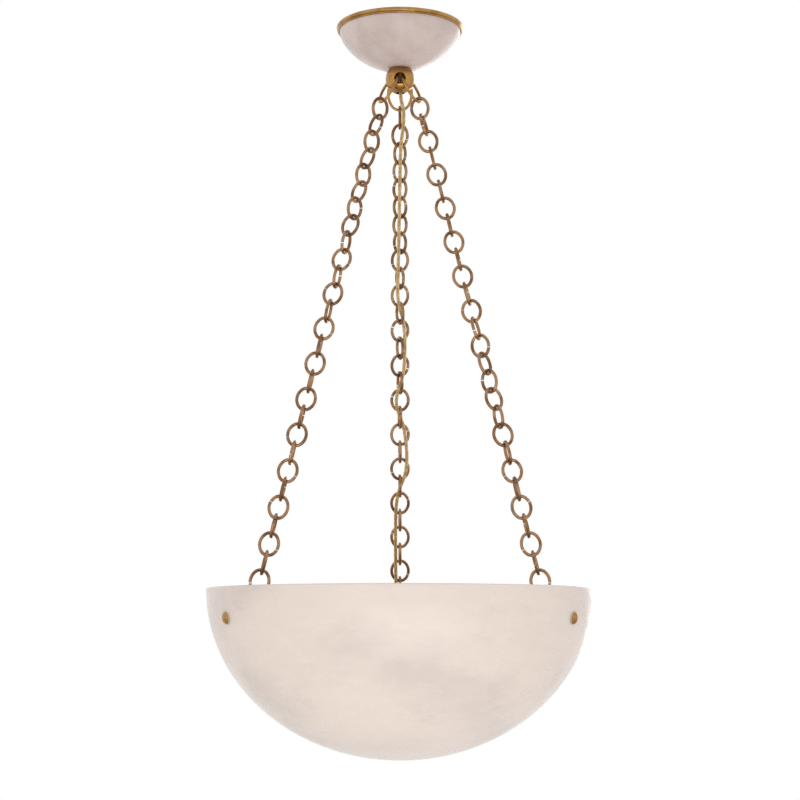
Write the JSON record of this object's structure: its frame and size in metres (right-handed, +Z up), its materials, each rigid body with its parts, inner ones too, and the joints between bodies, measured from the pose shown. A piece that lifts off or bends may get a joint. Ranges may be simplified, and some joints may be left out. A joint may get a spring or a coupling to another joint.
{
  "type": "pendant light",
  "caption": "Stone bowl uplight on round-wire chains: ceiling cup with brass trim, hollow hub and rings, flat cord woven down the rear chain, and a lamp cluster hidden in the bowl.",
  "frame": {"origin": "middle of the ceiling plane, between the bracket's two slots", "axes": "+Z up into the ceiling, +X to the right along the bracket, -Y towards the front: the left and right chains are in front and the third is at the rear"},
  "size_m": [0.406, 0.4073, 0.788],
  "materials": {
    "stone": "polished, cloudy, lets light through",
    "cup_stone": "polished, pinkish grey, faintly veined",
    "aged_brass": "aged, satin",
    "chain_brass": "aged, brown, satin",
    "thread_brass": "bright, turned",
    "zinc_steel": "zinc plated",
    "white_steel": "white enamel",
    "fibre": "matt, pressed",
    "soft_washer": "matt, slightly see-through",
    "terminal_plastic": "moulded",
    "clear_cord": "clear, amber tint over copper",
    "lead_insulation": "smooth",
    "holder_plastic": "moulded, heat resistant",
    "frosted_glass": "frosted",
    "cap_metal": "bright, rolled",
    "tip_insulator": "black glass with a solder tip"
  },
  "bodies": {
    "ceiling_cup": {"cup_stone": "cup_stone", "cup_trim": "aged_brass", "ceiling_bracket": "zinc_steel", "ground_screw": "zinc_steel", "nipple": "thread_brass", "nipple_nuts": "thread_brass", "cup_seal": "fibre", "terminal_block": "terminal_plastic", "terminal_screws": "zinc_steel", "hub": "aged_brass", "hub_ring_left": "aged_brass", "hub_ring_right": "aged_brass", "hub_ring_rear": "aged_brass", "cord_cup": "clear_cord"},
    "left_top_link": {"top_link_left": "chain_brass"},
    "left_chain": {"chain_left": "chain_brass"},
    "left_end_link": {"end_link_left": "chain_brass"},
    "right_top_link": {"top_link_right": "chain_brass"},
    "right_chain": {"chain_right": "chain_brass"},
    "rear_top_link": {"top_link_rear": "chain_brass", "cord_neck": "clear_cord"},
    "rear_chain": {"chain_rear": "chain_brass", "cord_run": "clear_cord"},
    "bulb_1_tip": {"bulb_1_tip": "tip_insulator"},
    "bulb_1": {"bulb_1_cap": "cap_metal", "bulb_1_glass": "frosted_glass"},
    "bulb_2_tip": {"bulb_2_tip": "tip_insulator"},
    "bulb_2": {"bulb_2_cap": "cap_metal", "bulb_2_glass": "frosted_glass"},
    "bulb_3_tip": {"bulb_3_tip": "tip_insulator"},
    "bulb_3": {"bulb_3_cap": "cap_metal", "bulb_3_glass": "frosted_glass"},
    "bowl": {"anchor_pads": "soft_washer", "anchor_screws": "aged_brass", "anchor_washers": "soft_washer", "bowl": "stone", "cord_bushing": "soft_washer", "cord_clips": "white_steel", "cord_tail": "clear_cord", "drum": "white_steel", "drum_bolt": "zinc_steel", "drum_lid": "white_steel", "drum_nut": "thread_brass", "eye_nuts": "aged_brass", "lamp_carrier": "white_steel", "lamp_leads": "lead_insulation", "socket_1": "holder_plastic", "socket_2": "holder_plastic", "socket_3": "holder_plastic", "socket_contact_1": "thread_brass", "socket_contact_2": "thread_brass", "socket_contact_3": "thread_brass", "socket_nipples": "thread_brass", "socket_nuts": "thread_brass", "socket_shell_1": "thread_brass", "socket_shell_2": "thread_brass", "socket_shell_3": "thread_brass", "splice": "terminal_plastic"}
  },
  "joints": [
    {"name": "swing_front_back", "type": "hinge", "parent": "ceiling_cup", "child": "left_top_link", "pos_m": [-0.01957, -0.0113, -0.08747], "axis": [1, 0, 0], "range_deg": [-8, 8]},
    {"name": "swing_sideways", "type": "hinge", "parent": "left_top_link", "child": "left_chain", "pos_m": [-0.02364, -0.01365, -0.1047], "axis": [0, 1, 0], "range_deg": [-8, 8]},
    {"name": "left_end_sideways", "type": "hinge", "parent": "left_chain", "child": "left_end_link", "pos_m": [-0.14401, -0.08314, -0.61437], "axis": [0, 1, 0], "range_deg": [-1.34, 1.34]},
    {"name": "bowl_front_back", "type": "hinge", "parent": "left_end_link", "child": "bowl", "pos_m": [-0.148, -0.08545, -0.63127], "axis": [1, 0, 0], "range_deg": [-1.08, 1.08], "deforming": ["cord_tail"]},
    {"name": "right_front_back", "type": "hinge", "parent": "ceiling_cup", "child": "right_top_link", "pos_m": [0.01957, -0.0113, -0.08747], "axis": [1, 0, 0], "range_deg": [-8, 8]},
    {"name": "right_sideways", "type": "hinge", "parent": "right_top_link", "child": "right_chain", "pos_m": [0.02364, -0.01365, -0.1047], "axis": [0, 1, 0], "range_deg": [-8, 8]},
    {"name": "rear_front_back", "type": "hinge", "parent": "ceiling_cup", "child": "rear_top_link", "pos_m": [0, 0.0226, -0.08747], "axis": [1, 0, 0], "range_deg": [-8, 8], "deforming": ["cord_neck"]},
    {"name": "rear_sideways", "type": "hinge", "parent": "rear_top_link", "child": "rear_chain", "pos_m": [0, 0.0273, -0.1047], "axis": [0, 1, 0], "range_deg": [-8, 8]},
    {"name": "bulb_1_travel", "type": "slide", "parent": "bowl", "child": "bulb_1_tip", "axis": [0.8138, 0.4698, 0.342], "range_m": [0, 0.02178]},
    {"name": "bulb_1_turn", "type": "hinge", "parent": "bulb_1_tip", "child": "bulb_1", "pos_m": [0.04394, 0.02537, -0.69453], "axis": [0.8138, 0.4698, 0.342], "range_deg": [0, 2160]},
    {"name": "bulb_2_travel", "type": "slide", "parent": "bowl", "child": "bulb_2_tip", "axis": [-0.8138, 0.4698, 0.342], "range_m": [0, 0.02178]},
    {"name": "bulb_2_turn", "type": "hinge", "parent": "bulb_2_tip", "child": "bulb_2", "pos_m": [-0.04394, 0.02537, -0.69453], "axis": [-0.8138, 0.4698, 0.342], "range_deg": [0, 2160]},
    {"name": "bulb_3_travel", "type": "slide", "parent": "bowl", "child": "bulb_3_tip", "axis": [0, -0.9397, 0.342], "range_m": [0, 0.02178]},
    {"name": "bulb_3_turn", "type": "hinge", "parent": "bulb_3_tip", "child": "bulb_3", "pos_m": [0, -0.05074, -0.69453], "axis": [0, -0.9397, 0.342], "range_deg": [0, 2160]}
  ],
  "couplings": [
    {"joint": "left_end_sideways", "follows": "swing_sideways", "ratio": -0.16418},
    {"joint": "bowl_front_back", "follows": "swing_front_back", "ratio": -0.13225},
    {"joint": "right_front_back", "follows": "swing_front_back", "ratio": 1},
    {"joint": "rear_front_back", "follows": "swing_front_back", "ratio": 1},
    {"joint": "right_sideways", "follows": "swing_sideways", "ratio": 0.99473},
    {"joint": "rear_sideways", "follows": "swing_sideways", "ratio": 0.99473},
    {"joint": "bulb_1_travel", "follows": "bulb_1_turn", "m_per_rad": 0.00057773},
    {"joint": "bulb_2_travel", "follows": "bulb_2_turn", "m_per_rad": 0.00057773},
    {"joint": "bulb_3_travel", "follows": "bulb_3_turn", "m_per_rad": 0.00057773}
  ]
}
